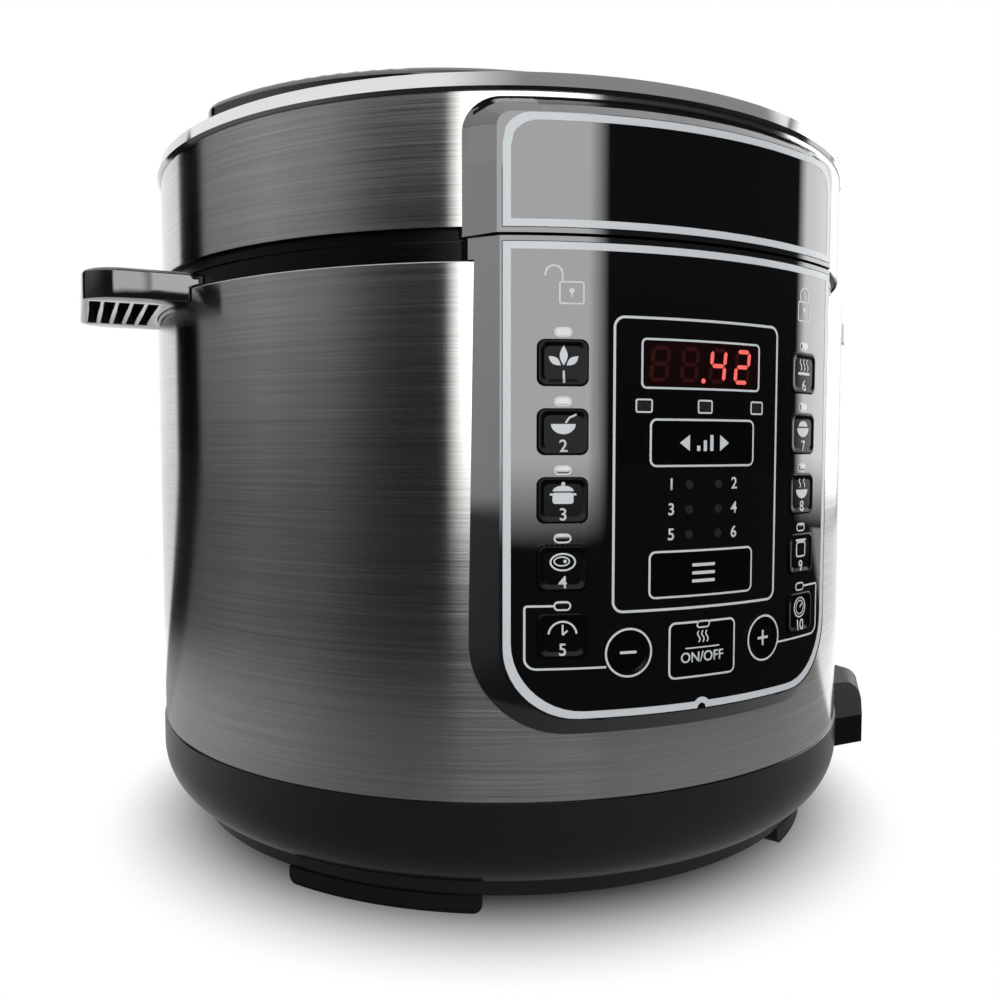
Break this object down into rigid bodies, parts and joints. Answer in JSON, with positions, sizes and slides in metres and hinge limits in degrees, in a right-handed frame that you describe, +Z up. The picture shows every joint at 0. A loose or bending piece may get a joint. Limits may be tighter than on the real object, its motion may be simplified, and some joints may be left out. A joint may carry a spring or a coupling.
{
  "type": "electric pressure cooker",
  "caption": "Countertop electric pressure cooker: round steel housing, turn-to-lock lid with sunk grip bar and steam valve, curved key panel with display, inner pot over a heater.",
  "frame": {"origin": "on the floor under the axis of the round body", "axes": "+Z up along the body's axis, the control panel faces -Y, +X to the viewer's right"},
  "size_m": [0.3332, 0.3102, 0.273],
  "materials": {
    "brushed_steel": "horizontally brushed stainless steel",
    "polished_rim": "polished",
    "black_gloss": "glossy black moulding",
    "black_satin": "satin black moulding",
    "panel_sheet": "glossy black sheet with printed lines",
    "key_cap": "glossy black cap with printed sign",
    "smoked_window": "smoked red window",
    "display_body": "dark moulding with red segments",
    "clear_cup": "clear moulded plastic",
    "pressed_steel": "pressed sheet",
    "cast_aluminium": "cast, satin",
    "pot_coating": "dark non-stick coating on aluminium",
    "valve_metal": "nickel plated",
    "screw_steel": "zinc plated",
    "silicone": "translucent white silicone",
    "foot_rubber": "matte black rubber",
    "board_green": "circuit board",
    "carrier_plastic": "plain black moulding",
    "switch_plastic": "plain",
    "lamp_body": "milky lamp body"
  },
  "bodies": {
    "cooker": {"base_shell": "black_satin", "board_carrier": "carrier_plastic", "control_board": "board_green", "control_panel_face": "panel_sheet", "control_panel_frame": "black_gloss", "cup_bracket": "black_satin", "display_lens": "smoked_window", "display_module": "display_body", "foot_pads": "foot_rubber", "handle_left": "black_gloss", "handle_right": "black_gloss", "heater_plate": "cast_aluminium", "housing_shell": "brushed_steel", "indicator_leds": "lamp_body", "inlet_housing": "black_satin", "inlet_pins": "valve_metal", "inner_pot": "pot_coating", "key_switches": "switch_plastic", "neck_ring": "black_satin", "outer_pot": "pressed_steel", "pot_screws": "screw_steel", "power_board": "board_green", "probe_holder": "pressed_steel", "probe_spring": "pressed_steel"},
    "seal": {"sealing_ring": "silicone"},
    "lid": {"lid_lip": "black_satin", "lid_skirt": "brushed_steel", "lid_rim": "polished_rim", "lid_cover": "black_gloss", "lid_handle": "black_gloss", "lid_panel_frame": "black_gloss", "lid_panel_face": "panel_sheet", "pressure_lid": "cast_aluminium", "steam_pipe": "valve_metal", "steam_shield": "pressed_steel", "float_sleeve": "valve_metal", "lid_screws": "screw_steel"},
    "steam_valve": {"steam_valve": "black_gloss"},
    "float_pin": {"float_pin": "valve_metal"},
    "condensate_cup": {"condensate_cup": "clear_cup"},
    "temperature_probe": {"temperature_probe": "cast_aluminium"},
    "key_left_1": {"key_left_1": "key_cap"},
    "key_left_2": {"key_left_2": "key_cap"},
    "key_left_3": {"key_left_3": "key_cap"},
    "key_left_4": {"key_left_4": "key_cap"},
    "key_left_5": {"key_left_5": "key_cap"},
    "key_right_1": {"key_right_1": "key_cap"},
    "key_right_2": {"key_right_2": "key_cap"},
    "key_right_3": {"key_right_3": "key_cap"},
    "key_right_4": {"key_right_4": "key_cap"},
    "key_right_5": {"key_right_5": "key_cap"},
    "key_adjust": {"key_adjust": "key_cap"},
    "key_function": {"key_function": "key_cap"},
    "key_cancel": {"key_cancel": "key_cap"},
    "key_minus": {"key_minus": "key_cap"},
    "key_plus": {"key_plus": "key_cap"}
  },
  "joints": [
    {"name": "lid_lift", "type": "slide", "parent": "cooker", "child": "seal", "axis": [0, 0, 1], "range_m": [0, 0.1]},
    {"name": "lid_turn", "type": "hinge", "parent": "seal", "child": "lid", "pos_m": [0, 0, 0.2], "axis": [0, 0, 1], "range_deg": [0, 30]},
    {"name": "steam_valve_turn", "type": "hinge", "parent": "lid", "child": "steam_valve", "pos_m": [-0.024, 0.038, 0.25], "axis": [0, 0, 1], "range_deg": [0, 60]},
    {"name": "float_rise", "type": "slide", "parent": "lid", "child": "float_pin", "axis": [0, 0, 1], "range_m": [0, 0.004]},
    {"name": "cup_pull", "type": "slide", "parent": "cooker", "child": "condensate_cup", "axis": [0, 1, 0], "range_m": [0, 0.025]},
    {"name": "probe_press", "type": "slide", "parent": "cooker", "child": "temperature_probe", "axis": [0, 0, -1], "range_m": [0, 0.0015], "stiffness_N_per_m": 1500, "springref_m": -0.002, "deforming": ["probe_spring"]},
    {"name": "press_key_left_1", "type": "slide", "parent": "cooker", "child": "key_left_1", "axis": [0, 1, 0], "range_m": [0, 0.0008], "stiffness_N_per_m": 1200, "springref_m": -0.0004},
    {"name": "press_key_left_2", "type": "slide", "parent": "cooker", "child": "key_left_2", "axis": [0, 1, 0], "range_m": [0, 0.0008], "stiffness_N_per_m": 1200, "springref_m": -0.0004},
    {"name": "press_key_left_3", "type": "slide", "parent": "cooker", "child": "key_left_3", "axis": [0, 1, 0], "range_m": [0, 0.0008], "stiffness_N_per_m": 1200, "springref_m": -0.0004},
    {"name": "press_key_left_4", "type": "slide", "parent": "cooker", "child": "key_left_4", "axis": [0, 1, 0], "range_m": [0, 0.0008], "stiffness_N_per_m": 1200, "springref_m": -0.0004},
    {"name": "press_key_left_5", "type": "slide", "parent": "cooker", "child": "key_left_5", "axis": [0, 1, 0], "range_m": [0, 0.0008], "stiffness_N_per_m": 1200, "springref_m": -0.0004},
    {"name": "press_key_right_1", "type": "slide", "parent": "cooker", "child": "key_right_1", "axis": [0, 1, 0], "range_m": [0, 0.0008], "stiffness_N_per_m": 1200, "springref_m": -0.0004},
    {"name": "press_key_right_2", "type": "slide", "parent": "cooker", "child": "key_right_2", "axis": [0, 1, 0], "range_m": [0, 0.0008], "stiffness_N_per_m": 1200, "springref_m": -0.0004},
    {"name": "press_key_right_3", "type": "slide", "parent": "cooker", "child": "key_right_3", "axis": [0, 1, 0], "range_m": [0, 0.0008], "stiffness_N_per_m": 1200, "springref_m": -0.0004},
    {"name": "press_key_right_4", "type": "slide", "parent": "cooker", "child": "key_right_4", "axis": [0, 1, 0], "range_m": [0, 0.0008], "stiffness_N_per_m": 1200, "springref_m": -0.0004},
    {"name": "press_key_right_5", "type": "slide", "parent": "cooker", "child": "key_right_5", "axis": [0, 1, 0], "range_m": [0, 0.0008], "stiffness_N_per_m": 1200, "springref_m": -0.0004},
    {"name": "press_key_adjust", "type": "slide", "parent": "cooker", "child": "key_adjust", "axis": [0, 1, 0], "range_m": [0, 0.0008], "stiffness_N_per_m": 1200, "springref_m": -0.0004},
    {"name": "press_key_function", "type": "slide", "parent": "cooker", "child": "key_function", "axis": [0, 1, 0], "range_m": [0, 0.0008], "stiffness_N_per_m": 1200, "springref_m": -0.0004},
    {"name": "press_key_cancel", "type": "slide", "parent": "cooker", "child": "key_cancel", "axis": [0, 1, 0], "range_m": [0, 0.0008], "stiffness_N_per_m": 1200, "springref_m": -0.0004},
    {"name": "press_key_minus", "type": "slide", "parent": "cooker", "child": "key_minus", "axis": [0, 1, 0], "range_m": [0, 0.0008], "stiffness_N_per_m": 1200, "springref_m": -0.0004},
    {"name": "press_key_plus", "type": "slide", "parent": "cooker", "child": "key_plus", "axis": [0, 1, 0], "range_m": [0, 0.0008], "stiffness_N_per_m": 1200, "springref_m": -0.0004}
  ]
}
